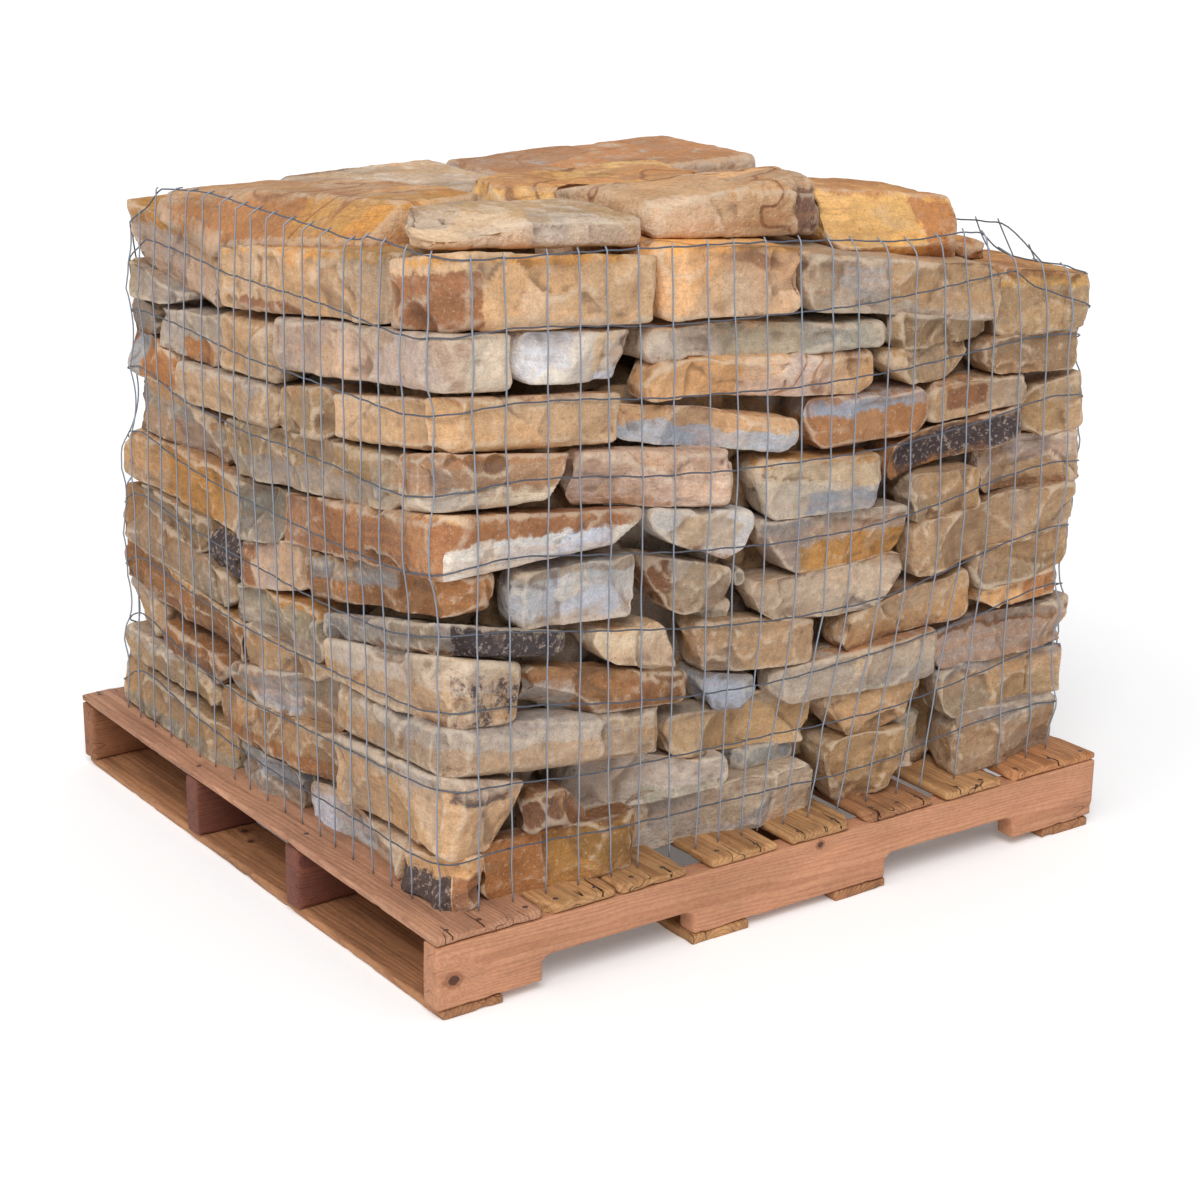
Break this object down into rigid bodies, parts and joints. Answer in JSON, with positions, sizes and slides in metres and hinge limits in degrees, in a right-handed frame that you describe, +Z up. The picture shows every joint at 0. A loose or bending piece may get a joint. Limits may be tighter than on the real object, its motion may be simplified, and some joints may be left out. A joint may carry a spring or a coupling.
{
  "type": "pallet of wall stone",
  "caption": "Wooden stringer pallet stacked with dry courses of split sandstone wall stone, wrapped in welded wire mesh.",
  "frame": {"origin": "centre of the pallet's footprint, on the floor", "axes": "+X along the stringers, +Y along the deck boards away from the front stringer, +Z up"},
  "size_m": [1.219, 1.143, 1.0645],
  "materials": {
    "stringer_wood": "planed hardwood, reddish brown",
    "deck_wood": "rough sawn, yellow to pinkish brown",
    "bottom_wood": "rough sawn, worn",
    "course_stone": "split sandstone, tan to ochre and pale grey",
    "top_stone": "split sandstone with ochre bands",
    "core_stone": "split sandstone in shade",
    "mesh_wire": "dull galvanised wire"
  },
  "bodies": {
    "root": {"stringer_1": "stringer_wood", "stringer_2": "stringer_wood", "stringer_3": "stringer_wood", "stringer_4": "stringer_wood", "deck_board_1": "deck_wood", "deck_board_2": "deck_wood", "deck_board_3": "deck_wood", "deck_board_4": "deck_wood", "deck_board_5": "deck_wood", "deck_board_6": "deck_wood", "deck_board_7": "deck_wood", "deck_board_8": "deck_wood", "bottom_board_1": "bottom_wood", "bottom_board_2": "bottom_wood", "bottom_board_3": "bottom_wood", "bottom_board_4": "bottom_wood", "stone_core": "core_stone", "course_1": "course_stone", "course_2": "course_stone", "course_3": "course_stone", "course_4": "course_stone", "course_5": "course_stone", "course_6": "course_stone", "course_7": "course_stone", "course_8": "course_stone", "course_9": "course_stone", "course_10": "course_stone", "course_11": "course_stone", "top_stones": "top_stone", "mesh_front": "mesh_wire", "mesh_right": "mesh_wire", "mesh_back": "mesh_wire", "mesh_left": "mesh_wire", "mesh_corner_1": "mesh_wire", "mesh_corner_2": "mesh_wire", "mesh_corner_3": "mesh_wire", "mesh_corner_4": "mesh_wire"}
  },
  "joints": []
}
